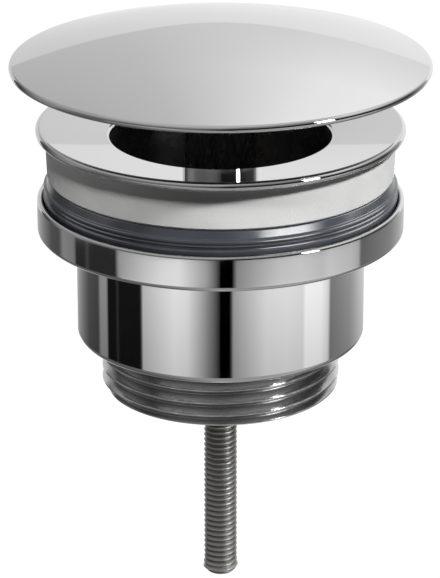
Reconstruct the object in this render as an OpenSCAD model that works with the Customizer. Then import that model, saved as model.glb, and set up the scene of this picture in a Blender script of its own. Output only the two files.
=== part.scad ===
// Free-flow basin waste: a mushroom cover on a stem, a dished flange, two seals and a threaded cup.
// One M6 rod clamps the stack. Turning the cover screws the rod through the bush in the cup's cross
// and draws the cup and the flange together, with the basin between the two seals.
// Millimetres. z = 0 is the seating plane where the seals meet, on the axis, and +Z points up.

/* [Cover] */
// Outer diameter of the mushroom cover
cover_d = 72.8; // [64:0.1:80]
// Sheet thickness of the cover, which is also the height of its full-round edge
cover_wall = 1.4; // [0.8:0.1:1.8]
// Rise of the dome from its edge to its crown
cover_rise = 5.2; // [4:0.1:9]
// Gap for the water between the flange's rim and the cover's edge
water_gap = 9.9; // [6:0.1:16]
// Diameter of the boss under the dome
boss_d = 20; // [16:0.5:26]
// Height of the boss's lower face above the cover's edge
boss_inset = 2.0; // [0.5:0.1:3]

/* [Stem and rod] */
// Outer diameter of the stem
stem_d = 12.5; // [10:0.1:16]
// Major diameter of the M6 rod and of the stud on the boss
rod_d = 5.9; // [5.8:0.05:6]
// Length of rod below the cup's tail when the clamp is closed
rod_free = 37.1; // [10:0.1:60]
// Depth that the rod is screwed into the stem
rod_grip = 13; // [8:0.5:16]
// Diameter of the rod's lower end, which is staked so that the rod can't leave the bush
rod_end_d = 6.3; // [6:0.1:6.6]
// Length of the staked end
rod_end_len = 2.6; // [1.5:0.1:4]
// Chamfer on the staked end
rod_chamfer = 0.9; // [0.4:0.1:1.2]
// Length of the boss's stud
stud_len = 9; // [6:0.5:12]
// Depth of the stem's upper hole beyond the stud
tap_spare = 1; // [0.5:0.1:2]
// Diameter of the slip washer under the stem
washer_d = 11.6; // [9:0.1:12]
// Thickness of the slip washer
washer_t = 1.0; // [0.5:0.1:1.5]
// Width across flats of the rod's nut
nut_flats = 10; // [9:0.5:11]
// Height of the rod's nut
nut_h = 3.2; // [2.4:0.1:4]

/* [Flange] */
// Outer diameter of the flange
flange_d = 64.1; // [60:0.1:70]
// Sheet thickness of the flange, which is also the height of its full-round rim
flange_wall = 1.5; // [1.2:0.1:2]
// Height of the rim's underside above the seating plane
flange_lift = 7.5; // [5:0.1:10]
// Drop of the flange's top from the rim to the hole
dish_drop = 1.75; // [0.5:0.05:2.5]
// Diameter of the waste hole
hole_d = 38.2; // [34:0.1:39]
// Depth of the neck below the seating plane
neck_depth = 19.5; // [14:0.1:22]
// Width of the inward lip at the neck's lower end
lip_w = 2.0; // [1:0.1:3]
// Height of that lip
lip_h = 1.5; // [1:0.1:2]

/* [Seals] */
// Diameter of the upper seal under the flange
upper_seal_d = 60.8; // [56:0.1:61.5]
// Taper of the upper seal's wall, on the radius, from top to bottom
upper_seal_taper = 0.3; // [0:0.05:0.6]
// Radius of the upper seal's lower edge
upper_seal_round = 0.5; // [0.2:0.1:1]
// Diameter of the lower seal at the seating plane
lower_seal_d = 59.8; // [56:0.1:60.5]
// Depth of the lower seal's ridge below the seating plane
ridge_drop = 1.9; // [1.5:0.1:2.4]
// Radius of the ridge's bead and of the groove under it
ridge_round = 0.45; // [0.3:0.05:0.6]
// Inset of the bead from the seal's fitted wall
ridge_inset = 0.05; // [0:0.05:0.2]
// Depth of the groove below the ridge
groove_step = 1.2; // [1.1:0.05:1.4]
// Chamfer at the lower seal's mouth, which guides the neck
seal_chamfer = 1.2; // [0.5:0.1:2]

/* [Cup] */
// Outer diameter of the collar
collar_d = 63.9; // [62:0.1:68]
// Wall of the collar, which has a full-round rim
collar_wall = 1.05; // [0.9:0.05:1.5]
// Depth of the collar's rim below the seating plane
collar_rim_drop = 3.95; // [3.6:0.05:5]
// Depth of the collar's underside below the seating plane
collar_drop = 10.2; // [9:0.1:13]
// Radius of the collar's lower corner
collar_round = 0.9; // [0.4:0.1:3]
// Thickness of the collar's floor
collar_floor = 1.7; // [1.4:0.1:3]
// Outer diameter of the barrel
barrel_d = 50.4; // [49:0.1:52]
// Wall of the barrel
barrel_wall = 2.0; // [1.5:0.1:2.4]
// Depth of the barrel's underside below the seating plane
barrel_drop = 29.6; // [28:0.05:40]
// Radius of the barrel's lower corner
barrel_round = 1.3; // [0.4:0.1:4.2]
// Thickness of the cup's floor ring
cup_floor = 2.6; // [2:0.1:3]
// Outer diameter of the G 1 1/4 tail thread
tail_d = 41.91; // [41.5:0.01:42]
// Pitch of the tail thread
tail_pitch = 2.309; // [1.8:0.001:2.6]
// Depth of the tail thread's grooves
tail_thread = 1.45; // [0.8:0.05:1.5]
// Length of the tail below the barrel
tail_len = 9.6; // [8:0.05:14]
// Bore of the tail
tail_bore = 35.6; // [34:0.1:36.5]
// Width of the shoulder that the cup's cross bears against
shoulder_w = 1.4; // [1:0.1:2]
// Chamfer at the tail's lower end
tail_chamfer = 0.8; // [0.4:0.1:1.2]

/* [Crosses] */
// Thickness of the arms of both crosses
arm_h = 2.6; // [2:0.1:3]
// Width of the arms of both crosses
arm_w = 3.2; // [2.5:0.1:4]
// Width of the outer ring of both crosses
ring_w = 2.0; // [1.5:0.1:3]
// Number of arms on the flange's cross
flange_arms = 4; // [3:1:5]
// Number of arms on the cup's cross
cup_arms = 3; // [3:1:5]
// Diameter of the hubs
hub_d = 13; // [12.4:0.1:14]
// Height of the pad on the flange's hub, above the arms
pad_h = 0.5; // [0.2:0.1:1]
// Outer diameter of the threaded bush
bush_d = 9; // [8:0.1:9.6]
// Diameter of the bush's head
bush_head_d = 12; // [10.5:0.1:12.4]
// Height of the bush's head
bush_head_h = 1.2; // [0.8:0.1:2]
// Length of the bush above its head
bush_len = 4.2; // [3:0.1:6]

/* [Clearances] */
// Running clearance on the radius, round the turning rod
run_gap = 0.08; // [0.04:0.01:0.1]
// Clearance on the radius where a cross, a seal or a bush drops into its seat
seat_gap = 0.05; // [0.02:0.01:0.1]
// Play on the height between the flange's cross and the rod's nut
nut_play = 0.2; // [0.1:0.05:0.4]

/* [Hidden] */
$fn = 96;
cover_r = cover_d / 2;
flange_r = flange_d / 2;
hole_r = hole_d / 2;
collar_r = collar_d / 2;
barrel_r = barrel_d / 2;
tail_r = tail_d / 2;
rod_r = rod_d / 2;
// Cover: the sheet's middle surface is a sphere through the centre of its round edge.
cover_low_z = flange_lift + flange_wall + water_gap;
edge_r = cover_r - cover_wall / 2;
edge_z = cover_low_z + cover_wall / 2;
dome_r = (edge_r * edge_r + cover_rise * cover_rise) / (2 * cover_rise);
dome_z = edge_z + cover_rise - dome_r;
dome_half_angle = asin(edge_r / dome_r);
boss_z = cover_low_z + boss_inset;
// Flange: the sheet runs from the rim's centre to the bend at the hole, and down the neck.
rim_c = [flange_r - flange_wall / 2, flange_lift + flange_wall / 2];
bend_c = [hole_r + flange_wall / 2, rim_c[1] - dish_drop];
dish_angle = atan(dish_drop / (rim_c[0] - bend_c[0]));
neck_r = hole_r + flange_wall;
// Height of the dish's underside at a radius
function under_dish(r) = bend_c[1] + (r - bend_c[0]) * tan(dish_angle)
    - flange_wall / 2 / cos(dish_angle);
flange_cross_z = lip_h - neck_depth;
pad_z = flange_cross_z + arm_h + pad_h;
stem_z = pad_z + washer_t;
nut_z = flange_cross_z - nut_play - nut_h;
// Seals
upper_seal_bore = neck_r + seat_gap;
lower_seal_fit_r = collar_r - collar_wall - seat_gap;
lower_seal_bore = barrel_r - barrel_wall;
ridge_r = lower_seal_fit_r - ridge_inset;
groove_drop = ridge_drop + groove_step;
seal_floor_z = collar_floor - collar_drop;
// Cup
cup_bore_r = barrel_r - barrel_wall;
cup_floor_z = cup_floor - barrel_drop;
shoulder_r = tail_bore / 2 - shoulder_w;
tail_z = -barrel_drop - tail_len;
// Tail thread, kept to rings: crests and roots are a sixth of the pitch wide, as on a pipe thread.
// A thin tail limits the grooves, as a wall limits a fillet.
crest_w = tail_pitch / 6;
groove_share = 0.5;
groove_depth = min(tail_thread, groove_share * (tail_r - tail_bore / 2));
tail_grooves = floor((tail_len - tail_chamfer - crest_w) / tail_pitch);
cup_cross_z = -barrel_drop - arm_h;
rod_z = tail_z - rod_free;

// Plain cylinder between two heights
module rod_between(r, z_low, z_high) {
  translate([0, 0, z_low])
    cylinder(r = r, h = z_high - z_low);
}

// Rectangle in a profile, from the inner to the outer radius and between two heights
module band(r_in, r_out, z_low, z_high) {
  translate([r_in, z_low])
    square([r_out - r_in, z_high - z_low]);
}

// Sheet in a profile, straight between two points and rounded at both
module sheet(a, b, wall) {
  turn = atan2(b[1] - a[1], b[0] - a[0]);
  span = norm(b - a);
  translate(a)
    rotate(turn)
      translate([0, -wall / 2])
        square([span, wall]);
  translate(a)
    circle(d = wall);
  translate(b)
    circle(d = wall);
}

// Ring with a hub and straight arms, standing on z = 0
module cross(outer_r, arms, height) {
  rotate_extrude()
    band(outer_r - ring_w, outer_r, 0, height);
  cylinder(d = hub_d, h = height);
  for (i = [0 : arms - 1])
    rotate(i * 360 / arms)
      translate([0, -arm_w / 2, 0])
        cube([outer_r - ring_w / 2, arm_w, height]);
}

// Domed sheet with its edge rolled to a full round
module cover_dome() {
  color("gainsboro")
    rotate_extrude($fn = 180) {
      translate([0, dome_z])
        intersection() {
          difference() {
            circle(r = dome_r + cover_wall / 2, $fn = 720);
            circle(r = dome_r - cover_wall / 2, $fn = 720);
          }
          polygon([[0, 0], [2 * dome_r * sin(dome_half_angle), 2 * dome_r * cos(dome_half_angle)],
                   [0, 2 * dome_r]]);
        }
      translate([edge_r, edge_z])
        circle(d = cover_wall);
    }
}

// Turned boss whose top follows the dome's underside, with the stud that enters the stem
module cover_boss() {
  color("darkgoldenrod") {
    intersection() {
      rod_between(boss_d / 2, boss_z, edge_z + cover_rise);
      translate([0, 0, dome_z])
        sphere(r = dome_r - cover_wall / 2, $fn = 360);
    }
    rod_between(rod_r, boss_z - stud_len, boss_z + 1);
  }
}

// Plain stem with a threaded blind hole at each end
module stem() {
  color("silver")
    difference() {
      rod_between(stem_d / 2, stem_z, boss_z);
      rod_between(rod_r, boss_z - stud_len - tap_spare, boss_z + 1);
      rod_between(rod_r, stem_z - 1, stem_z + rod_grip);
    }
}

// Slip washer that the stem turns on
module stem_washer() {
  color("ivory")
    difference() {
      rod_between(washer_d / 2, pad_z, pad_z + washer_t);
      rod_between(rod_r, pad_z - 1, pad_z + washer_t + 1);
    }
}

// Clamp rod with a staked and chamfered lower end
module centre_rod() {
  end_r = rod_end_d / 2;
  color("slategray") {
    rod_between(rod_r, rod_z + rod_chamfer, stem_z + rod_grip);
    rod_between(end_r, rod_z + rod_chamfer, rod_z + rod_end_len);
    translate([0, 0, rod_z])
      cylinder(r1 = end_r - rod_chamfer, r2 = end_r, h = rod_chamfer);
  }
}

// Thin nut that keeps the flange on the rod
module rod_nut() {
  color("lightslategray")
    difference() {
      intersection() {
        translate([0, 0, nut_z])
          cylinder(r = nut_flats / 2 / cos(30), h = nut_h, $fn = 6);
        translate([0, 0, nut_z])
          cylinder(r1 = nut_flats / 2 + nut_h, r2 = nut_flats / 2, h = nut_h);
        translate([0, 0, nut_z])
          cylinder(r1 = nut_flats / 2, r2 = nut_flats / 2 + nut_h, h = nut_h);
      }
      rod_between(rod_r, nut_z - 1, nut_z + nut_h + 1);
    }
}

// Drawn flange: full-round rim, dished top, neck and inward lip
module flange() {
  color("gainsboro")
    rotate_extrude($fn = 180) {
      sheet(bend_c, rim_c, flange_wall);
      band(hole_r, neck_r, -neck_depth, bend_c[1]);
      band(hole_r - lip_w, hole_r + flange_wall / 2, -neck_depth, flange_cross_z);
    }
}

// Four-arm cross on the neck's lip, with the pad that the stem presses on
module flange_cross() {
  color("silver")
    difference() {
      translate([0, 0, flange_cross_z]) {
        cross(hole_r - seat_gap, flange_arms, arm_h);
        cylinder(d = hub_d, h = arm_h + pad_h);
      }
      rod_between(rod_r + run_gap, flange_cross_z - 1, pad_z + 1);
    }
}

// Foam ring: its top lies on the dish's underside and its foot on the seating plane
module upper_seal() {
  top_r = upper_seal_d / 2;
  foot_r = top_r - upper_seal_taper;
  color("whitesmoke")
    rotate_extrude($fn = 180)
      difference() {
        polygon([[upper_seal_bore, 0], [foot_r, 0], [foot_r, upper_seal_round],
                 [top_r, under_dish(top_r)], [upper_seal_bore, under_dish(upper_seal_bore)]]);
        difference() {
          band(foot_r - upper_seal_round, foot_r + 1, -1, upper_seal_round);
          translate([foot_r - upper_seal_round, upper_seal_round])
            circle(r = upper_seal_round);
        }
      }
}

// Rubber ring in the collar: cone at the seating plane, then a ridge, a groove and the fitted foot
module lower_seal() {
  top_r = lower_seal_d / 2;
  color("dimgray")
    rotate_extrude($fn = 180) {
      difference() {
        polygon([[lower_seal_bore, seal_floor_z], [lower_seal_fit_r, seal_floor_z],
                 [lower_seal_fit_r, -groove_drop], [ridge_r - ridge_round, -ridge_drop],
                 [top_r, 0], [lower_seal_bore + seal_chamfer, 0],
                 [lower_seal_bore, -seal_chamfer]]);
        translate([ridge_r, -groove_drop])
          circle(r = ridge_round);
      }
      translate([ridge_r - ridge_round, -ridge_drop])
        circle(r = ridge_round);
    }
}

// Corner of a profile, rounded outwards and downwards, with its centre at the given place
module foot_corner(r, z, radius) {
  difference() {
    band(r - radius, r + 1, z - 1, z + radius);
    translate([r - radius, z + radius])
      circle(r = radius);
  }
}

// Groove of the tail thread in a profile, with its root at the given height
module thread_groove(z) {
  root_r = tail_r - groove_depth;
  mouth = tail_pitch - crest_w;
  polygon([[root_r, z - crest_w / 2], [tail_r, z - mouth / 2], [tail_r + 1, z - mouth / 2],
           [tail_r + 1, z + mouth / 2], [tail_r, z + mouth / 2], [root_r, z + crest_w / 2]]);
}

// Cup: collar with a full-round rim, barrel, floor ring and threaded tail
module cup_body() {
  color("gainsboro")
    rotate_extrude($fn = 180) {
      // collar
      translate([collar_r - collar_wall / 2, -collar_rim_drop - collar_wall / 2])
        circle(d = collar_wall);
      difference() {
        band(cup_bore_r, collar_r, -collar_drop, -collar_rim_drop - collar_wall / 2);
        band(cup_bore_r - 1, collar_r - collar_wall, seal_floor_z, 0);
        foot_corner(collar_r, -collar_drop, collar_round);
      }
      // barrel and floor ring
      difference() {
        band(shoulder_r, barrel_r, -barrel_drop, seal_floor_z);
        band(shoulder_r - 1, cup_bore_r, cup_floor_z, 0);
        foot_corner(barrel_r, -barrel_drop, barrel_round);
      }
      // tail
      difference() {
        band(tail_bore / 2, tail_r, tail_z, cup_floor_z);
        translate([tail_r, tail_z])
          rotate(45)
            square(sqrt(2) * tail_chamfer, center = true);
        for (i = [0 : tail_grooves - 1])
          thread_groove(tail_z + tail_chamfer + crest_w / 2 + (i + 0.5) * tail_pitch);
      }
    }
}

// Three-arm cross, pressed up from below against the floor ring's shoulder
module cup_cross() {
  color("goldenrod")
    difference() {
      translate([0, 0, cup_cross_z])
        cross(tail_bore / 2 - seat_gap, cup_arms, arm_h);
      rod_between(bush_d / 2, cup_cross_z - 1, cup_cross_z + arm_h + 1);
    }
}

// Bush with its head under the cross, so the rod's pull seats it
module thread_bush() {
  color("khaki")
    difference() {
      union() {
        rod_between(bush_d / 2, cup_cross_z - bush_head_h, cup_cross_z + bush_len);
        rod_between(bush_head_d / 2, cup_cross_z - bush_head_h, cup_cross_z);
      }
      rod_between(rod_r + run_gap, cup_cross_z - bush_head_h - 1, cup_cross_z + bush_len + 1);
    }
}

cover_dome();
cover_boss();
stem();
stem_washer();
centre_rod();
rod_nut();
flange();
flange_cross();
upper_seal();
lower_seal();
cup_body();
cup_cross();
thread_bush();
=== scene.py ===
import math

import bmesh
import bpy
from mathutils import Matrix, Vector


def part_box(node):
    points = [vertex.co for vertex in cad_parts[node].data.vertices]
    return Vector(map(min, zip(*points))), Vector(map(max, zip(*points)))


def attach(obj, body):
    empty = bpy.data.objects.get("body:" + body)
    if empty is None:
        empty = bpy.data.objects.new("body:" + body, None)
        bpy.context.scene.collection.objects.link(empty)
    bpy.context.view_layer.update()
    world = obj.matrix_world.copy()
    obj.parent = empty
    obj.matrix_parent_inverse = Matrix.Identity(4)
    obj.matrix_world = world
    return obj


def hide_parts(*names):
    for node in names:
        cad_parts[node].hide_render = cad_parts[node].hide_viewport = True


# Looks of a free-flow basin waste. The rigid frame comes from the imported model. Here every node gets
# its finished surface: mirror chrome, turned brass, rolled zinc-plated thread, foam and rubber.
# Metres. The rod's axis is z, and z = 0 is the seating plane where the two seals meet.

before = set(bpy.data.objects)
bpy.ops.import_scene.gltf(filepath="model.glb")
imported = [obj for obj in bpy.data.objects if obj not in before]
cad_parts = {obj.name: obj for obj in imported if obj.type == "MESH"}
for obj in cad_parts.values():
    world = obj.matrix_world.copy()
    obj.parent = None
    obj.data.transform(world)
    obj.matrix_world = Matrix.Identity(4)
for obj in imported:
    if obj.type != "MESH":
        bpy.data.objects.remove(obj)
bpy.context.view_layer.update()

MM = 0.001

# Sizes that the frame's boxes don't give, from the cover down. A DROP is a depth below z = 0.
COVER_WALL = 1.4 * MM
FLANGE_WALL = 1.5 * MM
DISH_DEPTH = 1.75 * MM
HOLE_R = 19.1 * MM
LIP_WIDTH = 2.0 * MM
LIP_HEIGHT = 1.5 * MM
UPPER_SEAL_TAPER = 0.3 * MM
LOWER_SEAL_TOP_R = 29.9 * MM
RIDGE_DROP = 1.9 * MM
RIDGE_ROUND = 0.45 * MM
GROOVE_STEP = 1.2 * MM
SEAL_CHAMFER = 1.2 * MM
# The lower seal draws in a little below its groove
WAIST_DROP = 5.6 * MM
WAIST_DEPTH = 0.4 * MM
COLLAR_WALL = 1.05 * MM
COLLAR_DROP = 10.2 * MM
COLLAR_FLOOR = 1.7 * MM
COLLAR_ROUND = 0.9 * MM
BARREL_R = 25.2 * MM
BARREL_WALL = 2.0 * MM
BARREL_DROP = 29.6 * MM
BARREL_ROUND = 1.3 * MM
CUP_FLOOR = 2.6 * MM
SHOULDER_WIDTH = 1.4 * MM
ARM_WIDTH = 3.2 * MM
RING_WIDTH = 2.0 * MM
HUB_R = 6.5 * MM
PAD_HEIGHT = 0.5 * MM
BUSH_R = 4.5 * MM

# Tail with its G 1 1/4 thread
TAIL_R = 20.955 * MM
TAIL_BORE_R = 17.8 * MM
TAIL_CHAMFER = 0.8 * MM
TAIL_PITCH = 2.309 * MM
TAIL_THREAD_DEPTH = 1.45 * MM
TAIL_THREAD_START = 0.18
TAIL_RUN_OUT = 1.2 * MM
TAIL_ROWS_A_PITCH = 30

# M6 rod, staked wider at its lower end so that the bush can't come off
ROD_R = 2.95 * MM
ROD_CHAMFER = 0.9 * MM
ROD_PITCH = 1.0 * MM
ROD_THREAD_DEPTH = 0.38 * MM
ROD_STAKED_LENGTH = 2.6 * MM
ROD_FLARE_LENGTH = 1.5 * MM
ROD_RUN_OUT = 0.8 * MM
ROD_ROWS_A_PITCH = 12

# Share of half a pitch that a thread's rounded crest takes, and its root too
THREAD_LAND = 0.1

# Gap round the rod in the pieces that it turns in, gap between fitted pieces, and how much deeper than
# its stud the stem is tapped
RUN_GAP = 0.08 * MM
FIT_GAP = 0.05 * MM
TAP_SPARE = 1.0 * MM

# Radii that edges are eased to
SHEET_EASE = 0.15 * MM
RIDGE_EASE = 0.16 * MM
EDGE_EASE = 0.2 * MM
BOSS_EASE = 0.25 * MM
TURNED_EASE = 0.3 * MM
FOAM_EASE = 0.5 * MM
WINDOW_CORNER = 0.8 * MM

# Places of the second and third finish among a piece's materials
SATIN, THREAD = 1, 2

# Where the satin starts: inside the cover's and the collar's rounded edges, and below the flange's bend.
# The tail's thread starts this much inside its roots.
COVER_BRIGHT_BAND = 0.1 * MM
COLLAR_BRIGHT_BAND = 0.4 * MM
NECK_BRIGHT_BAND = 0.5 * MM
ROOT_BAND = 0.2 * MM

# Distances below which points are one point, and heights or radii are level with each other
ONE_POINT = 1e-7
LEVEL = 1e-6
CLOSE = 1e-5

# Steps round a full turn
LATHE_STEPS = 256
PLATE_STEPS = 144
NARROW_STEPS = 128
SMALL_STEPS = 96
ROD_STEPS = 48


def node_low(name):
    """Lowest corner of a CAD node."""
    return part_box(name)[0]


def node_high(name):
    """Highest corner of a CAD node."""
    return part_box(name)[1]


# Profiles and solids


def arc(centre, radius, start, end, steps):
    """Points of (radius, height) along an arc, with its angles in degrees from straight outwards."""
    points = []
    for i in range(steps + 1):
        angle = math.radians(start + (end - start) * i / steps)
        points.append((centre[0] + radius * math.cos(angle), centre[1] + radius * math.sin(angle)))
    return points


def outline(*stretches):
    """Joins points and arcs to one profile and drops a point that repeats the last one."""
    points = []
    for stretch in stretches:
        for point in stretch if isinstance(stretch, list) else [stretch]:
            if not points or math.dist(points[-1], point) > ONE_POINT:
                points.append(point)
    return points


def lathe(profile, closed=True, steps=LATHE_STEPS):
    """Turns a profile of (radius, height) a full round. An open profile starts and ends on the axis."""
    bm = bmesh.new()
    corners = [bm.verts.new((radius, 0.0, height)) for radius, height in profile]
    followers = corners[1:] + corners[:1] if closed else corners[1:]
    edges = [bm.edges.new(pair) for pair in zip(corners, followers)]
    bmesh.ops.spin(bm, geom=corners + edges, cent=(0, 0, 0), axis=(0, 0, 1), angle=math.tau,
                   steps=steps, use_merge=True, use_duplicate=False)
    bmesh.ops.remove_doubles(bm, verts=bm.verts, dist=ONE_POINT)
    bmesh.ops.recalc_face_normals(bm, faces=bm.faces)
    return bm


def round_over(bm, edges, radius, segments):
    """Rounds the given edges."""
    bmesh.ops.bevel(bm, geom=edges, offset=radius, offset_type="OFFSET", segments=segments,
                    profile=0.5, affect="EDGES", material=-1)


def ease_edges(bm, radius, segments=2, sharper_than=40, where=None):
    """Rounds the sharp edges over, as deburring or plating does."""
    sharp = [edge for edge in bm.edges if edge.is_manifold
             and math.degrees(edge.calc_face_angle(0)) > sharper_than
             and (where is None or where((edge.verts[0].co + edge.verts[1].co) / 2))]
    round_over(bm, sharp, radius, segments)


def finish_faces(bm, finish, where):
    """Gives another finish to the faces whose centre and normal pass the test."""
    for face in bm.faces:
        if where(face.calc_center_median(), face.normal):
            face.material_index = finish


def wall_radius(point):
    """Distance of a point from the axis."""
    return math.hypot(point.x, point.y)


def end_chamfer(radius, chamfer, low, height):
    """Radius at a height on a wall whose lower end is chamfered at 45 degrees."""
    return min(radius, radius - chamfer + height - low)


def roll_thread(bm, major, pitch, depth, low, high, run_out, start=0.0):
    """Presses a right-hand thread into an outer wall. It fades out below the top, and its start is given
    as a share of a turn."""
    for vert in bm.verts:
        radius = wall_radius(vert.co)
        if radius < major - depth - FIT_GAP or not low - LEVEL <= vert.co.z <= high + LEVEL:
            continue
        turn = vert.co.z / pitch - math.atan2(vert.co.y, vert.co.x) / math.tau - start
        off_crest = 2 * abs(turn - round(turn))
        flank = min(1.0, max(0.0, (off_crest - THREAD_LAND) / (1 - 2 * THREAD_LAND)))
        fade = min(1.0, (high - vert.co.z) / run_out)
        groove = depth * flank * fade * fade * (3 - 2 * fade)
        rolled = radius - max(0.0, groove - max(0.0, major - radius))
        vert.co.x *= rolled / radius
        vert.co.y *= rolled / radius


def ring_edges(bm, radius, height, steps):
    """Edges of a circle in a flat outline."""
    made = bmesh.ops.create_circle(bm, segments=steps, radius=radius,
                                   matrix=Matrix.Translation((0, 0, height)))
    return list({edge for vert in made["verts"] for edge in vert.link_edges})


def window_edges(bm, start, end, inner, outer, height):
    """Edges of one window between two straight arms."""
    near_turn = math.degrees(math.asin(ARM_WIDTH / 2 / inner))
    far_turn = math.degrees(math.asin(ARM_WIDTH / 2 / outer))
    points = outline(arc((0, 0), inner, start + near_turn, end - near_turn, 16),
                     arc((0, 0), outer, end - far_turn, start + far_turn, 32))
    corners = [bm.verts.new((x, y, height)) for x, y in points]
    return [bm.edges.new(pair) for pair in zip(corners, corners[1:] + corners[:1])]


def spoked_plate(outer, bore, arms, low, high):
    """Flat ring with a hub and straight arms, its windows cast with round corners."""
    bm = bmesh.new()
    edges = ring_edges(bm, outer, low, PLATE_STEPS) + ring_edges(bm, bore, low, ROD_STEPS)
    for i in range(arms):
        edges += window_edges(bm, i * 360 / arms, (i + 1) * 360 / arms, HUB_R, outer - RING_WIDTH, low)
    bmesh.ops.triangle_fill(bm, edges=edges, normal=(0, 0, 1), use_beauty=True)
    risen = bmesh.ops.extrude_face_region(bm, geom=bm.faces[:])
    top = [item for item in risen["geom"] if isinstance(item, bmesh.types.BMVert)]
    bmesh.ops.translate(bm, verts=top, vec=(0, 0, high - low))
    bmesh.ops.recalc_face_normals(bm, faces=bm.faces)
    upright = [edge for edge in bm.edges if abs(edge.verts[0].co.z - edge.verts[1].co.z) > CLOSE
               and math.degrees(edge.calc_face_angle(0)) > 40]
    round_over(bm, upright, WINDOW_CORNER, 4)
    ease_edges(bm, EDGE_EASE)
    return bm


def dome_section():
    """Radius and centre of the cover sheet's middle surface, and the middle of its rounded edge."""
    low, high = node_low("cover_dome"), node_high("cover_dome")
    edge = (high.x - COVER_WALL / 2, low.z + COVER_WALL / 2)
    rise = high.z - COVER_WALL / 2 - edge[1]
    sphere = (edge[0] ** 2 + rise ** 2) / (2 * rise)
    return sphere, (0.0, edge[1] + rise - sphere), edge


def flange_section():
    """Middles of the flange's rounded rim and of the bend into its neck, and its dish's slope in degrees."""
    high = node_high("flange")
    rim = (high.x - FLANGE_WALL / 2, high.z - FLANGE_WALL / 2)
    bend = (HOLE_R + FLANGE_WALL / 2, rim[1] - DISH_DEPTH)
    return rim, bend, math.degrees(math.atan2(DISH_DEPTH, rim[0] - bend[0]))


def flange_underside(radius):
    """Height of the flange's underside at a radius."""
    _, bend, dish = flange_section()
    middle = bend[1] + (radius - bend[0]) * math.tan(math.radians(dish))
    return middle - FLANGE_WALL / 2 / math.cos(math.radians(dish))


# Materials

# A Mix node's sockets for its two colours, and for the colour that it gives
COLOUR_A, COLOUR_B, MIXED_COLOUR = 6, 7, 2


def linear(hex_colour):
    """Turns an sRGB hex colour into Blender's linear one."""
    channels = [int(hex_colour[i:i + 2], 16) / 255 for i in (1, 3, 5)]
    return [c / 12.92 if c <= 0.04045 else ((c + 0.055) / 1.055) ** 2.4 for c in channels] + [1.0]


def add_node(tree, kind, inputs=None, **settings):
    """Adds a node with its settings, and fills or links its inputs."""
    node = tree.nodes.new(kind)
    for name, value in settings.items():
        setattr(node, name, value)
    for socket, value in (inputs or {}).items():
        if isinstance(value, bpy.types.NodeSocket):
            tree.links.new(value, node.inputs[socket])
        else:
            node.inputs[socket].default_value = value
    return node


def new_material(name):
    """Empty material with its shader and the object's own coordinates."""
    material = bpy.data.materials.new(name)
    material.use_nodes = True
    tree = material.node_tree
    place = add_node(tree, "ShaderNodeTexCoord").outputs["Object"]
    return material, tree, tree.nodes["Principled BSDF"], place


def mottled(tree, place, width, detail, low, high):
    """Value that drifts between two limits, in patches about as wide as the given size in metres."""
    noise = add_node(tree, "ShaderNodeTexNoise", {"Vector": place, "Scale": 1 / width, "Detail": detail})
    limited = add_node(tree, "ShaderNodeMapRange", {
        "Value": noise.outputs["Fac"], "From Min": 0.3, "From Max": 0.7, "To Min": low, "To Max": high})
    return limited.outputs["Result"]


def uneven_skin(tree, shader, place, width, detail, depth):
    """Surface that rises and falls by the given depth, in swells about as wide as the given width."""
    noise = add_node(tree, "ShaderNodeTexNoise", {"Vector": place, "Scale": 1 / width, "Detail": detail})
    bump = add_node(tree, "ShaderNodeBump", {"Height": noise.outputs["Fac"], "Distance": depth})
    tree.links.new(bump.outputs["Normal"], shader.inputs["Normal"])


def off_axis(tree, place):
    """Distance from the part's axis, in metres."""
    flat = add_node(tree, "ShaderNodeVectorMath", {0: place, 1: (1, 1, 0)}, operation="MULTIPLY")
    return add_node(tree, "ShaderNodeVectorMath", {0: flat.outputs[0]}, operation="LENGTH").outputs["Value"]


def polished_chrome():
    # Chromium over buffed brass: a mirror with a faint haze where it was handled, and a skin that
    # waves by a few thousandths of a millimetre from the buffing wheel.
    material, tree, shader, place = new_material("polished_chrome")
    shader.inputs["Base Color"].default_value = linear("#D6D6D6")
    shader.inputs["Metallic"].default_value = 1.0
    tree.links.new(mottled(tree, place, 9 * MM, 4.0, 0.02, 0.05), shader.inputs["Roughness"])
    uneven_skin(tree, shader, place, 7 * MM, 1.0, 0.003 * MM)
    return material


def unbuffed_chrome():
    # The same plating where no wheel reaches: satin, with the drawn sheet's fine grain.
    material, tree, shader, place = new_material("unbuffed_chrome")
    shader.inputs["Base Color"].default_value = linear("#ABABAC")
    shader.inputs["Metallic"].default_value = 1.0
    tree.links.new(mottled(tree, place, 4 * MM, 4.0, 0.24, 0.31), shader.inputs["Roughness"])
    uneven_skin(tree, shader, place, 0.4 * MM, 3.0, 0.006 * MM)
    return material


def threaded_chrome():
    # Chrome on a cut thread: thinner and duller down in the grooves, where its colour is darkened as painted
    # shade.
    material, tree, shader, place = new_material("threaded_chrome")
    shader.inputs["Metallic"].default_value = 1.0
    crest = add_node(tree, "ShaderNodeMapRange", {
        "Value": off_axis(tree, place), "From Min": TAIL_R - TAIL_THREAD_DEPTH, "From Max": TAIL_R})
    # Painted shade: the colour darkens from the crests down to the thread's roots.
    tone = add_node(tree, "ShaderNodeMix", {
        "Factor": crest.outputs["Result"], COLOUR_A: linear("#9C9C9C"), COLOUR_B: linear("#D2D2D2")},
        data_type="RGBA")
    tree.links.new(tone.outputs[MIXED_COLOUR], shader.inputs["Base Color"])
    dull = add_node(tree, "ShaderNodeMapRange", {
        "Value": crest.outputs["Result"], "To Min": 0.3, "To Max": 0.1})
    tree.links.new(dull.outputs["Result"], shader.inputs["Roughness"])
    uneven_skin(tree, shader, place, 0.8 * MM, 3.0, 0.02 * MM)
    return material


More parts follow.
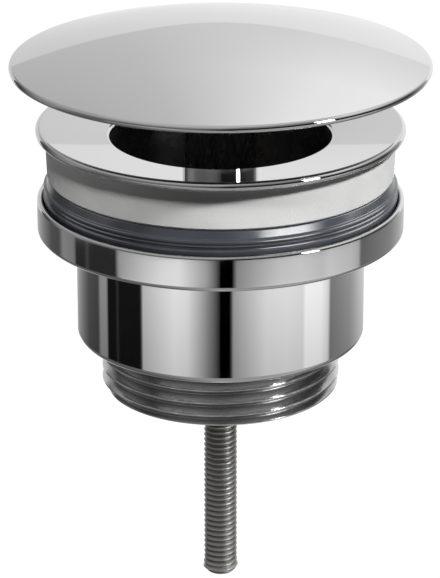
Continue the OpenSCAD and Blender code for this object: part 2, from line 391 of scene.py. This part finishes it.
def turned_brass():
    # Free-cutting brass off the lathe: warm, with feed marks 0.25 mm apart round the axis.
    material, tree, shader, place = new_material("turned_brass")
    shader.inputs["Metallic"].default_value = 1.0
    tone = add_node(tree, "ShaderNodeMix", {
        "Factor": mottled(tree, place, 5 * MM, 4.0, 0.0, 1.0), COLOUR_A: linear("#C9A654"),
        COLOUR_B: linear("#B08C42")}, data_type="RGBA")
    tree.links.new(tone.outputs[MIXED_COLOUR], shader.inputs["Base Color"])
    tree.links.new(mottled(tree, place, 3 * MM, 4.0, 0.2, 0.32), shader.inputs["Roughness"])
    passes = add_node(tree, "ShaderNodeMath", {0: off_axis(tree, place), 1: math.tau / (0.25 * MM)},
                      operation="MULTIPLY")
    mark = add_node(tree, "ShaderNodeMath", {0: passes.outputs[0]}, operation="SINE")
    bump = add_node(tree, "ShaderNodeBump", {"Height": mark.outputs[0], "Distance": 0.006 * MM})
    tree.links.new(bump.outputs["Normal"], shader.inputs["Normal"])
    return material


def zinc_plated_steel():
    # Thread-rolled steel with bright zinc: warm grey, with its colour darkened in the roots as painted shade.
    material, tree, shader, place = new_material("zinc_plated_steel")
    shader.inputs["Metallic"].default_value = 1.0
    crest = add_node(tree, "ShaderNodeMapRange", {
        "Value": off_axis(tree, place), "From Min": ROD_R - ROD_THREAD_DEPTH, "From Max": ROD_R})
    # Painted shade: the colour darkens from the crests down to the thread's roots.
    tone = add_node(tree, "ShaderNodeMix", {
        "Factor": crest.outputs["Result"], COLOUR_A: linear("#716F6D"), COLOUR_B: linear("#BBBAB6")},
        data_type="RGBA")
    tree.links.new(tone.outputs[MIXED_COLOUR], shader.inputs["Base Color"])
    tree.links.new(mottled(tree, place, 1.5 * MM, 4.0, 0.36, 0.5), shader.inputs["Roughness"])
    uneven_skin(tree, shader, place, 0.25 * MM, 2.0, 0.012 * MM)
    return material


def white_foam_rubber():
    # Closed-cell foam rubber with a moulded skin: matt, near white, with pores about 0.3 mm wide.
    material, tree, shader, place = new_material("white_foam_rubber")
    tone = add_node(tree, "ShaderNodeMix", {
        "Factor": mottled(tree, place, 6 * MM, 3.0, 0.0, 1.0), COLOUR_A: linear("#ECECEA"),
        COLOUR_B: linear("#E4E4E3")}, data_type="RGBA")
    tree.links.new(tone.outputs[MIXED_COLOUR], shader.inputs["Base Color"])
    shader.inputs["Roughness"].default_value = 0.7
    shader.inputs["Specular IOR Level"].default_value = 0.25
    pores = add_node(tree, "ShaderNodeTexVoronoi", {"Vector": place, "Scale": 1 / (0.3 * MM)})
    bump = add_node(tree, "ShaderNodeBump", {"Height": pores.outputs["Distance"], "Distance": 0.015 * MM})
    tree.links.new(bump.outputs["Normal"], shader.inputs["Normal"])
    return material


def dark_rubber():
    # Compression-moulded rubber, blue-grey and half glossy, slightly uneven where the mould was dressed.
    material, tree, shader, place = new_material("dark_rubber")
    tone = add_node(tree, "ShaderNodeMix", {
        "Factor": mottled(tree, place, 8 * MM, 4.0, 0.0, 1.0), COLOUR_A: linear("#26282C"),
        COLOUR_B: linear("#303338")}, data_type="RGBA")
    tree.links.new(tone.outputs[MIXED_COLOUR], shader.inputs["Base Color"])
    tree.links.new(mottled(tree, place, 2 * MM, 3.0, 0.18, 0.26), shader.inputs["Roughness"])
    shader.inputs["IOR"].default_value = 1.52
    uneven_skin(tree, shader, place, 2.5 * MM, 1.0, 0.015 * MM)
    return material


def natural_nylon():
    # Turned nylon: milky and faintly warm, with a soft sheen.
    material, tree, shader, place = new_material("natural_nylon")
    tone = add_node(tree, "ShaderNodeMix", {
        "Factor": mottled(tree, place, 2 * MM, 3.0, 0.0, 1.0), COLOUR_A: linear("#E2DECF"),
        COLOUR_B: linear("#D6D1C0")}, data_type="RGBA")
    tree.links.new(tone.outputs[MIXED_COLOUR], shader.inputs["Base Color"])
    shader.inputs["Roughness"].default_value = 0.42
    shader.inputs["Subsurface Weight"].default_value = 0.1
    shader.inputs["Subsurface Radius"].default_value = (1.0 * MM, 0.8 * MM, 0.6 * MM)
    return material


# Pieces


def add_mesh(name, bm, materials):
    """Puts a finished bmesh into the scene as an object."""
    mesh = bpy.data.meshes.new(name)
    bm.to_mesh(mesh)
    bm.free()
    for material in materials:
        mesh.materials.append(material)
    thing = bpy.data.objects.new(name, mesh)
    bpy.context.scene.collection.objects.link(thing)
    return thing


def add_piece(name, bm, body, nodes, materials, soft_below=35):
    """Makes a finished piece that rides on its body and stands for the CAD nodes."""
    for edge in bm.edges:
        edge.smooth = math.degrees(edge.calc_face_angle(0)) < soft_below
    for face in bm.faces:
        face.smooth = True
    piece = add_mesh(name, bm, materials)
    shading = piece.modifiers.new("flat stretches stay flat", "WEIGHTED_NORMAL")
    shading.keep_sharp = True
    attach(piece, body)
    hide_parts(*nodes)
    return piece


def cover_sheet(mirror, satin):
    """Domed cover with a full-round edge, mirror above and satin below."""
    sphere, centre, edge = dome_section()
    slope = math.degrees(math.asin(edge[0] / sphere))
    bm = lathe(outline(arc(centre, sphere + COVER_WALL / 2, 90, 90 - slope, 48),
                       arc(edge, COVER_WALL / 2, 90 - slope, -90 - slope, 24),
                       arc(centre, sphere - COVER_WALL / 2, 90 - slope, 90, 24)), closed=False)

    def is_satin(at, normal):
        return normal.z < -0.5 and wall_radius(at) < edge[0] - COVER_BRIGHT_BAND

    finish_faces(bm, SATIN, is_satin)
    add_piece("cover_sheet", bm, "cover_set", ["cover_dome"], [mirror, satin])


def turned_boss(brass):
    """Boss soldered under the dome, with the stud that enters the stem."""
    low, high = node_low("cover_boss"), node_high("cover_boss")
    face_z = node_high("stem").z
    sphere, centre, _ = dome_section()
    reach = math.degrees(math.asin(high.x / (sphere - COVER_WALL / 2)))
    bm = lathe(outline(arc(centre, sphere - COVER_WALL / 2, 90, 90 - reach, 8),
                       (high.x, face_z), (ROD_R, face_z), (ROD_R, low.z), (0.0, low.z)),
               closed=False, steps=NARROW_STEPS)
    ease_edges(bm, BOSS_EASE)
    add_piece("turned_boss", bm, "cover_set", ["cover_boss"], [brass])


def turned_stem(mirror):
    """Plain stem, chamfered at both ends, with its two tapped holes."""
    low, high = node_low("stem"), node_high("stem")
    hole_top = node_high("centre_rod").z
    hole_foot = node_low("cover_boss").z - TAP_SPARE
    bm = lathe(outline((0.0, hole_foot), (ROD_R, hole_foot), (ROD_R, high.z), (high.x, high.z),
                       (high.x, low.z), (ROD_R, low.z), (ROD_R, hole_top), (0.0, hole_top)),
               closed=False, steps=NARROW_STEPS)
    ease_edges(bm, TURNED_EASE, where=lambda at: wall_radius(at) > high.x - CLOSE)
    add_piece("turned_stem", bm, "cover_set", ["stem"], [mirror])


def slip_washer(nylon):
    """Slip washer under the stem."""
    low, high = node_low("stem_washer"), node_high("stem_washer")
    bm = lathe([(ROD_R, low.z), (high.x, low.z), (high.x, high.z), (ROD_R, high.z)], steps=SMALL_STEPS)
    ease_edges(bm, EDGE_EASE, segments=3)
    add_piece("slip_washer", bm, "cover_set", ["stem_washer"], [nylon])


def threaded_rod(steel):
    """M6 rod with its rolled thread and its staked lower end."""
    low, high = node_low("centre_rod"), node_high("centre_rod")
    staked_z = low.z + ROD_STAKED_LENGTH
    rows = round((high.z - low.z) / ROD_PITCH * ROD_ROWS_A_PITCH)
    wall = []
    for i in range(rows + 1):
        z = low.z + (high.z - low.z) * i / rows
        flare = min(1.0, max(0.0, (staked_z - z) / ROD_FLARE_LENGTH))
        wall.append((end_chamfer(ROD_R + (high.x - ROD_R) * flare, ROD_CHAMFER, low.z, z), z))
    bm = lathe(outline((0.0, low.z), wall, (0.0, high.z)), closed=False, steps=ROD_STEPS)
    roll_thread(bm, ROD_R, ROD_PITCH, ROD_THREAD_DEPTH, low.z, high.z, ROD_RUN_OUT)
    return add_piece("threaded_rod", bm, "cover_set", ["centre_rod"], [steel], soft_below=60)


def drawn_flange(mirror, satin):
    """Flange drawn from sheet: full-round rim, dished top, neck and inward lip."""
    low = node_low("flange")
    rim, bend, dish = flange_section()
    neck_r = HOLE_R + FLANGE_WALL
    lip_r = HOLE_R - LIP_WIDTH
    lip_top = low.z + LIP_HEIGHT
    bm = lathe(outline((lip_r, low.z), (lip_r, lip_top), (HOLE_R, lip_top),
                       arc(bend, FLANGE_WALL / 2, 180, 90 + dish, 12),
                       arc(rim, FLANGE_WALL / 2, 90 + dish, -90 + dish, 24),
                       (neck_r, flange_underside(neck_r)), (neck_r, low.z)))

    def is_satin(at, normal):
        return at.z < bend[1] - NECK_BRIGHT_BAND and wall_radius(at) < neck_r + CLOSE

    ease_edges(bm, SHEET_EASE, where=lambda at: at.z < lip_top + CLOSE)
    finish_faces(bm, SATIN, is_satin)
    add_piece("drawn_flange", bm, "flange_set", ["flange"], [mirror, satin])


def flange_spider(satin):
    """Four-arm cross that carries the stem's push to the flange, with a pad round its bore."""
    low, high = node_low("flange_cross"), node_high("flange_cross")
    bore_r = ROD_R + RUN_GAP
    arm_top = high.z - PAD_HEIGHT
    bm = spoked_plate(high.x, bore_r, 4, low.z, arm_top)
    pad = lathe([(bore_r, arm_top), (HUB_R, arm_top), (HUB_R, high.z), (bore_r, high.z)], steps=SMALL_STEPS)
    ease_edges(pad, SHEET_EASE, where=lambda at: at.z > high.z - CLOSE)
    pad_mesh = bpy.data.meshes.new("pad")
    pad.to_mesh(pad_mesh)
    pad.free()
    bm.from_mesh(pad_mesh)
    bpy.data.meshes.remove(pad_mesh)
    add_piece("flange_spider", bm, "flange_set", ["flange_cross"], [satin])


def foam_ring(foam):
    """White ring under the flange, tapered in towards its foot."""
    low, high = node_low("upper_seal"), node_high("upper_seal")
    bore_r = HOLE_R + FLANGE_WALL + FIT_GAP
    foot_r = high.x - UPPER_SEAL_TAPER
    bm = lathe([(bore_r, low.z), (foot_r, low.z), (high.x, flange_underside(high.x)),
                (bore_r, flange_underside(bore_r))])
    ease_edges(bm, FOAM_EASE, segments=5, where=lambda at: wall_radius(at) > foot_r - CLOSE)
    add_piece("foam_ring", bm, "flange_set", ["upper_seal"], [foam])


def ridged_ring(rubber):
    """Dark ring in the collar: cone, ridge, groove, waist and foot."""
    low, high = node_low("lower_seal"), node_high("lower_seal")
    bore_r = BARREL_R - BARREL_WALL
    fit_r = high.x
    groove_z = -RIDGE_DROP - GROOVE_STEP
    ridge = (fit_r - FIT_GAP - RIDGE_ROUND, -RIDGE_DROP)
    groove = (fit_r - FIT_GAP, groove_z)
    bm = lathe(outline((bore_r, low.z), (fit_r, low.z), (fit_r, low.z + SEAL_CHAMFER),
                       (fit_r - WAIST_DEPTH, -WAIST_DROP), (fit_r, groove_z - RIDGE_ROUND),
                       arc(groove, RIDGE_ROUND, 268, 92, 12),
                       arc(ridge, RIDGE_ROUND, -70, 90, 12),
                       (LOWER_SEAL_TOP_R, high.z), (bore_r + SEAL_CHAMFER, high.z),
                       (bore_r, high.z - SEAL_CHAMFER)))

    def on_ridge(at):
        # Clear of the top edge, which is eased first
        return groove_z < at.z < high.z - 1.5 * EDGE_EASE and wall_radius(at) > LOWER_SEAL_TOP_R

    ease_edges(bm, EDGE_EASE, segments=3, where=lambda at: at.z > high.z - CLOSE)
    ease_edges(bm, RIDGE_EASE, segments=3, sharper_than=25, where=on_ridge)
    return add_piece("ridged_ring", bm, "cup", ["lower_seal"], [rubber])


def turned_cup(mirror, satin, thread):
    """Cup in one piece: collar, barrel, floor ring and the threaded tail."""
    low, high = node_low("cup_body"), node_high("cup_body")
    bore_r = BARREL_R - BARREL_WALL
    shoulder_r = TAIL_BORE_R - SHOULDER_WIDTH
    collar_r = high.x
    seat_z = COLLAR_FLOOR - COLLAR_DROP
    rim = (collar_r - COLLAR_WALL / 2, high.z - COLLAR_WALL / 2)
    rows = round((-BARREL_DROP - low.z) / TAIL_PITCH * TAIL_ROWS_A_PITCH)
    tail = []
    for i in range(rows + 1):
        z = -BARREL_DROP + (low.z + BARREL_DROP) * i / rows
        tail.append((end_chamfer(TAIL_R, TAIL_CHAMFER, low.z, z), z))
    bm = lathe(outline(
        (collar_r - COLLAR_WALL, seat_z),
        arc(rim, COLLAR_WALL / 2, 180, 0, 16),
        arc((collar_r - COLLAR_ROUND, -COLLAR_DROP + COLLAR_ROUND), COLLAR_ROUND, 0, -90, 16),
        (BARREL_R, -COLLAR_DROP),
        arc((BARREL_R - BARREL_ROUND, -BARREL_DROP + BARREL_ROUND), BARREL_ROUND, 0, -90, 16),
        tail,
        (TAIL_BORE_R, low.z), (TAIL_BORE_R, -BARREL_DROP), (shoulder_r, -BARREL_DROP),
        (shoulder_r, CUP_FLOOR - BARREL_DROP), (bore_r, CUP_FLOOR - BARREL_DROP),
        (bore_r, seat_z)))
    roll_thread(bm, TAIL_R, TAIL_PITCH, TAIL_THREAD_DEPTH, low.z, -BARREL_DROP, TAIL_RUN_OUT,
                TAIL_THREAD_START)
    tail_inside_r = TAIL_R - TAIL_THREAD_DEPTH - ROOT_BAND

    def is_satin(at, normal):
        radius = wall_radius(at)
        faces_axis = normal.x * at.x + normal.y * at.y < 1e-9
        in_barrel = radius < bore_r + CLOSE and at.z > -BARREL_DROP - CLOSE and faces_axis
        in_tail = radius < tail_inside_r
        in_collar = at.z > seat_z - CLOSE and radius < rim[0] - COLLAR_BRIGHT_BAND
        return in_barrel or in_tail or in_collar

    def is_threaded(at, normal):
        return at.z < -BARREL_DROP - LEVEL and wall_radius(at) > tail_inside_r

    finish_faces(bm, SATIN, is_satin)
    finish_faces(bm, THREAD, is_threaded)
    add_piece("turned_cup", bm, "cup", ["cup_body"], [mirror, satin, thread])


def cup_spider(brass):
    """Three-arm cross against the cup's shoulder."""
    low, high = node_low("cup_cross"), node_high("cup_cross")
    bm = spoked_plate(high.x, BUSH_R, 3, low.z, high.z)
    add_piece("cup_spider", bm, "cup", ["cup_cross"], [brass])


def turned_bush(brass):
    """Threaded bush with its head under the cross."""
    low, high = node_low("thread_bush"), node_high("thread_bush")
    head_top = node_low("cup_cross").z
    bore_r = ROD_R + RUN_GAP
    bm = lathe([(bore_r, low.z), (high.x, low.z), (high.x, head_top), (BUSH_R, head_top), (BUSH_R, high.z),
                (bore_r, high.z)], steps=NARROW_STEPS)
    ease_edges(bm, TURNED_EASE, where=lambda at: abs(at.z - head_top) > CLOSE)
    add_piece("turned_bush", bm, "cup", ["thread_bush"], [brass])


# Studio: a pale floor, and a tent of cloths round the part that only its reflections see. Angles are in
# degrees. Azimuth 0 is the camera's side, and + is to its right.

TENT_RADIUS = 0.7
TENT_CENTRE_Z = -0.02
FLOOR_RADIUS = 14.0
FLOOR_Z = -0.75
# Elevations where one cloth of the tent ends and the next begins
GROUND_ELEVATION = -24
LOW_WALL_TOP = -19.5
COLLAR_WALL_TOP = -18.2
ROOF_ELEVATION = 57
# Paper sweep behind the part: its two sides, its foot, the joint above it, and its top edge. The top's
# middle sags by SWEEP_SAG, over about SWEEP_SAG_WIDTH to each side.
SWEEP_RADIUS = TENT_RADIUS - 0.03
SWEEP_SIDES = (140, 220)
SWEEP_FOOT = -16
SWEEP_JOINT = -4
SWEEP_TOP = 18.9
SWEEP_SAG = 4.2
SWEEP_SAG_WIDTH = 7

# Light of the tent's brightest cloth, of its roof, of the sweep's foot, of the key light's diffuser, of
# what the camera sees round the part, and of the fill that those surroundings give the part
CLOTH_LIGHT = 1.5
ROOF_LIGHT = 0.6
SWEEP_FOOT_LIGHT = 0.92
DIFFUSER_LIGHT = 18
SURROUNDING_LIGHT = 1.05
FILL_LIGHT = 0.02
# Lamps stand outside the tent. Those that only one piece sees stand inside it, because its highlight
# would be hidden by the cloths.
LAMP_DISTANCE = 1.0
INNER_LAMP_DISTANCE = 0.5

# Key light's softbox, which stands inside the tent: its sides, its heights and its distance
KEY_SIDES = (50, 60)
KEY_HEIGHTS = (-2, 24)
KEY_RADIUS = 0.6

# Camera at the photograph's viewpoint
CAMERA_PLACE = (-0.0001, -0.540, 0.18565)
CAMERA_PITCH = 21.01
CAMERA_LENS = 204.55


def tent_height(elevation, radius=TENT_RADIUS):
    """Height on an upright cloth that the part sees at an elevation."""
    return TENT_CENTRE_Z + radius * math.tan(math.radians(elevation))


def add_stage(name, bm, material, seen=False):
    """Stage piece. The camera sees only the floor, and the cloths are there for the mirror finishes."""
    thing = add_mesh(name, bm, [material])
    thing.visible_camera = seen
    thing.visible_diffuse = False
    thing.visible_shadow = False


def upright_wall(start, end, low, high, radius):
    """Wall round the part between two azimuths and two elevations."""
    bm = bmesh.new()
    turn = math.radians(start)
    corners = [bm.verts.new((radius * math.sin(turn), -radius * math.cos(turn), tent_height(e, radius)))
               for e in (low, high)]
    edge = bm.edges.new(corners)
    bmesh.ops.spin(bm, geom=corners + [edge], cent=(0, 0, 0), axis=(0, 0, 1),
                   angle=math.radians(end - start), steps=max(2, round((end - start) / 2)),
                   use_merge=end - start > 359, use_duplicate=False)
    return bm


def round_cloth(name, low, high, material):
    """Cloth hung all the way round the part."""
    add_stage(name, upright_wall(-180, 180, low, high, TENT_RADIUS), material)


def level_cloth(name, elevation, material):
    """Round cloth that closes the tent above or below the part."""
    bm = bmesh.new()
    bmesh.ops.create_circle(bm, cap_ends=True, segments=90, radius=TENT_RADIUS,
                            matrix=Matrix.Translation((0, 0, tent_height(elevation))))
    add_stage(name, bm, material)


def sagging_sweep(name, material):
    """Paper sweep behind the part, whose top edge sags between its two stands."""
    bm = upright_wall(*SWEEP_SIDES, SWEEP_JOINT, SWEEP_TOP, SWEEP_RADIUS)
    top = max(vert.co.z for vert in bm.verts)
    for vert in bm.verts:
        if vert.co.z > top - LEVEL:
            off_middle = abs(math.degrees(math.atan2(vert.co.x, vert.co.y)))
            sag = SWEEP_SAG / (1 + (off_middle / SWEEP_SAG_WIDTH) ** 2)
            vert.co.z = tent_height(SWEEP_TOP - sag, SWEEP_RADIUS)
    add_stage(name, bm, material)


def soft_lamp(name, azimuth, elevation, size, power, only=None):
    """Square lamp, with its size in metres and its power in watts. It lights all the pieces and no mirror
    finish shows it, or it lights one piece and gives that one a highlight."""
    data = bpy.data.lights.new(name, "AREA")
    data.size = size
    data.energy = power
    lamp = bpy.data.objects.new(name, data)
    bpy.context.scene.collection.objects.link(lamp)
    turn, rise = math.radians(azimuth), math.radians(elevation)
    away = Vector((math.cos(rise) * math.sin(turn), -math.cos(rise) * math.cos(turn), math.sin(rise)))
    lamp.location = away * (INNER_LAMP_DISTANCE if only else LAMP_DISTANCE)
    lamp.rotation_euler = away.to_track_quat("Z", "Y").to_euler()
    lamp.visible_camera = False
    lamp.visible_glossy = only is not None
    if only:
        lit = bpy.data.collections.new(f"{name}_pieces")
        lit.objects.link(only)
        lamp.light_linking.receiver_collection = lit


def glowing_material(name, brightness):
    """Material that only glows, with its nodes."""
    material, tree, shader, place = new_material(name)
    shader.inputs["Base Color"].default_value = linear("#000000")
    shader.inputs["Roughness"].default_value = 1.0
    shader.inputs["Specular IOR Level"].default_value = 0.0
    shader.inputs["Emission Color"].default_value = (1, 1, 1, 1)
    shader.inputs["Emission Strength"].default_value = brightness
    return material, tree, shader, place


def lit_cloth(name, brightness):
    """Cloth that glows evenly."""
    return glowing_material(name, brightness)[0]


def glow_ramp(tree, share, stops):
    """Ramp over a share of a turn. Each stop is an azimuth and a share of CLOTH_LIGHT."""
    ramp = add_node(tree, "ShaderNodeValToRGB", {"Fac": share})
    elements = ramp.color_ramp.elements
    elements.remove(elements[-1])
    for i, (turn, glow) in enumerate(stops):
        at = (turn + 180) / 360
        element = elements[0] if i == 0 else elements.new(at)
        element.position = at
        element.color = (glow, glow, glow, 1)
    return ramp.outputs["Color"]


def panelled_cloth(name, stops, upper_stops=None, fade=(0, 1), foot_share=1):
    """Cloth whose glow changes round the part. Between the two elevations of its fade it passes from one
    row of panels to the next, or dims towards its foot."""
    material, tree, shader, place = glowing_material(name, CLOTH_LIGHT)
    axes = add_node(tree, "ShaderNodeSeparateXYZ", {0: place})
    front = add_node(tree, "ShaderNodeMath", {0: axes.outputs["Y"], 1: -1}, operation="MULTIPLY")
    azimuth = add_node(tree, "ShaderNodeMath", {0: axes.outputs["X"], 1: front.outputs[0]},
                       operation="ARCTAN2")
    share = add_node(tree, "ShaderNodeMapRange", {
        "Value": azimuth.outputs[0], "From Min": -math.pi, "From Max": math.pi}).outputs["Result"]
    heights = {"Value": axes.outputs["Z"], "From Min": tent_height(fade[0]), "From Max": tent_height(fade[1])}
    glow = glow_ramp(tree, share, stops)
    if upper_stops:
        rise = add_node(tree, "ShaderNodeMapRange", heights)
        blend = add_node(tree, "ShaderNodeMix", {
            "Factor": rise.outputs["Result"], COLOUR_A: glow, COLOUR_B: glow_ramp(tree, share, upper_stops)},
            data_type="RGBA")
        glow = blend.outputs[MIXED_COLOUR]
    if foot_share < 1:
        light = add_node(tree, "ShaderNodeMapRange", {
            **heights, "To Min": CLOTH_LIGHT * foot_share, "To Max": CLOTH_LIGHT})
        tree.links.new(light.outputs["Result"], shader.inputs["Emission Strength"])
    tree.links.new(glow, shader.inputs["Emission Color"])
    return material


def build_tent():
    """Cloths of the tent, with white, grey and black panels. Most of their stops are light levels worked out
    from the greys that the photograph shows on the collar, the barrel, the flange and the cover."""
    level_cloth("ground_sheet", GROUND_ELEVATION, panelled_cloth("ground_cloth", [
        (-180, 0.6), (-156, 0.5), (-150, 0.12), (-90, 0.08), (-60, 0.13), (-30, 0.22), (-8, 0.26), (10, 0.25),
        (40, 0.28), (75, 0.36), (100, 0.2), (130, 0.1), (150, 0.1), (158, 0.6), (180, 0.6)]))
    # What the barrel and the tail reflect
    round_cloth("low_wall", GROUND_ELEVATION, LOW_WALL_TOP, panelled_cloth("low_wall_cloth", [
        (-180, 0.45), (-150, 0.22), (-130, 0.07), (-114, 0.05), (-110, 0.24), (-102, 0.24), (-100, 0.006),
        (-91, 0.006), (-89, 0.03), (-87, 0.006), (-65, 0.006), (-63.5, 0.44), (-36, 0.73), (-26, 0.68),
        (-9, 0.2), (0, 0), (8, 0), (10, 0.31), (36, 0.67), (54, 0.71), (68, 0.67), (70, 0.87), (86, 0.85),
        (94, 0.66), (97, 0.18), (125, 0.28), (145, 0.45), (180, 0.55)], fade=(-22.4, -19.9), foot_share=0.74))
    # What the collar reflects
    round_cloth("collar_wall", LOW_WALL_TOP, COLLAR_WALL_TOP, panelled_cloth("collar_cloth", [
        (-180, 0.45), (-150, 0.22), (-130, 0.07), (-119, 0.06), (-114, 0.2), (-102, 0.16), (-100, 0.02),
        (-92, 0.02), (-90, 0.05), (-87, 0.02), (-67, 0.02), (-65, 0.27), (-36, 0.66), (-26, 0.71), (-9, 0.34),
        (0, 0), (8, 0), (9, 0.22), (36, 0.52), (50, 0.55), (64, 0.48), (70, 0.53), (88, 0.45), (94, 0.36),
        (96, 0.11), (130, 0.2), (180, 0.55)]))
    # Upper wall: dark at the height of the camera, lighter above it, and pale behind the part
    camera_row = [(-180, 0.52), (-172, 0.45), (-160, 0.4), (-150, 0.1), (-130, 0.04), (-112, 0.18),
                  (-95, 0.2), (-80, 0.12), (-53, 0.1), (-33, 0.12), (-14, 0.1), (0, 0.04), (4, 0.01),
                  (60, 0.012), (87, 0.03), (117, 0.04), (135, 0.25), (150, 0.5), (168, 0.58), (180, 0.52)]
    high_row = [(-180, 0.58), (-172, 0.47), (-160, 0.41), (-145, 0.32), (-120, 0.3), (-60, 0.3), (0, 0.3),
                (12, 0.2), (60, 0.2), (75, 0.6), (100, 0.65), (120, 0.45), (140, 0.6), (158, 0.8),
                (168, 0.75), (180, 0.58)]
    round_cloth("high_wall", COLLAR_WALL_TOP, ROOF_ELEVATION,
                panelled_cloth("high_wall_cloth", camera_row, high_row, fade=(12, 36)))
    level_cloth("roof", ROOF_ELEVATION, lit_cloth("roof_cloth", ROOF_LIGHT))
    add_stage("rear_sweep_foot", upright_wall(*SWEEP_SIDES, SWEEP_FOOT, SWEEP_JOINT, SWEEP_RADIUS),
              lit_cloth("sweep_foot", SWEEP_FOOT_LIGHT))
    sagging_sweep("rear_sweep", panelled_cloth("sweep_paper", [
        (-180, 0.62), (-168, 0.53), (-140, 0.48), (140, 0.69), (166, 0.69), (180, 0.62)]))


def build_stage():
    """Floor, tent and lamps, with the key light to the right of the camera."""
    floor = bmesh.new()
    bmesh.ops.create_circle(floor, cap_ends=True, segments=128, radius=FLOOR_RADIUS,
                            matrix=Matrix.Translation((0, 0, FLOOR_Z)))
    add_stage("pale_floor", floor, lit_cloth("backlit_white_acrylic", SURROUNDING_LIGHT), seen=True)
    build_tent()
    add_stage("key_softbox", upright_wall(*KEY_SIDES, *KEY_HEIGHTS, KEY_RADIUS),
              lit_cloth("key_diffuser", DIFFUSER_LIGHT))
    soft_lamp("key_lamp", 55, 47, 0.12, 12)
    soft_lamp("top_lamp", -20, 62, 0.15, 7.5)
    soft_lamp("fill_lamp", -95, 12, 0.3, 1.0)
    soft_lamp("back_lamp", 165, 50, 0.3, 8)


def light_satin_pieces(ring, rod):
    """Lamps whose highlights only the half-glossy ring and the dull rod show."""
    soft_lamp("ring_lamp", 38, 6, 0.2, 2.8, ring)
    soft_lamp("ring_side_lamp", 105, 25, 0.35, 2.2, ring)
    soft_lamp("ring_left_lamp", -95, 30, 0.4, 0.7, ring)
    soft_lamp("rod_lamp", 60, -21, 0.08, 0.48, rod)


def set_camera():
    """Camera in front of the part, 21 degrees above the horizon."""
    data = bpy.data.cameras.new("camera")
    data.sensor_width = 36
    data.lens = CAMERA_LENS
    camera = bpy.data.objects.new("camera", data)
    bpy.context.scene.collection.objects.link(camera)
    camera.location = CAMERA_PLACE
    camera.rotation_euler = (math.radians(90 - CAMERA_PITCH), 0, 0)
    bpy.context.scene.camera = camera


def set_world():
    """White surroundings for the camera, which give the part itself only a little fill light."""
    world = bpy.data.worlds.new("white_surroundings")
    world.use_nodes = True
    tree = world.node_tree
    seen = add_node(tree, "ShaderNodeLightPath").outputs["Is Camera Ray"]
    strength = add_node(tree, "ShaderNodeMapRange", {
        "Value": seen, "To Min": FILL_LIGHT, "To Max": SURROUNDING_LIGHT})
    background = tree.nodes["Background"]
    background.inputs["Color"].default_value = (1, 1, 1, 1)
    tree.links.new(strength.outputs["Result"], background.inputs["Strength"])
    bpy.context.scene.world = world
    bpy.context.scene.view_settings.view_transform = "Standard"


mirror_chrome = polished_chrome()
satin_chrome = unbuffed_chrome()
thread_chrome = threaded_chrome()
brass = turned_brass()
steel = zinc_plated_steel()

cover_sheet(mirror_chrome, satin_chrome)
turned_boss(brass)
turned_stem(mirror_chrome)
slip_washer(natural_nylon())
rod = threaded_rod(steel)
drawn_flange(mirror_chrome, satin_chrome)
flange_spider(satin_chrome)
foam_ring(white_foam_rubber())
ring = ridged_ring(dark_rubber())
turned_cup(mirror_chrome, satin_chrome, thread_chrome)
cup_spider(brass)
turned_bush(brass)
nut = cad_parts["rod_nut"]
nut.data.materials.clear()
nut.data.materials.append(steel)

build_stage()
light_satin_pieces(ring, rod)
set_camera()
set_world()
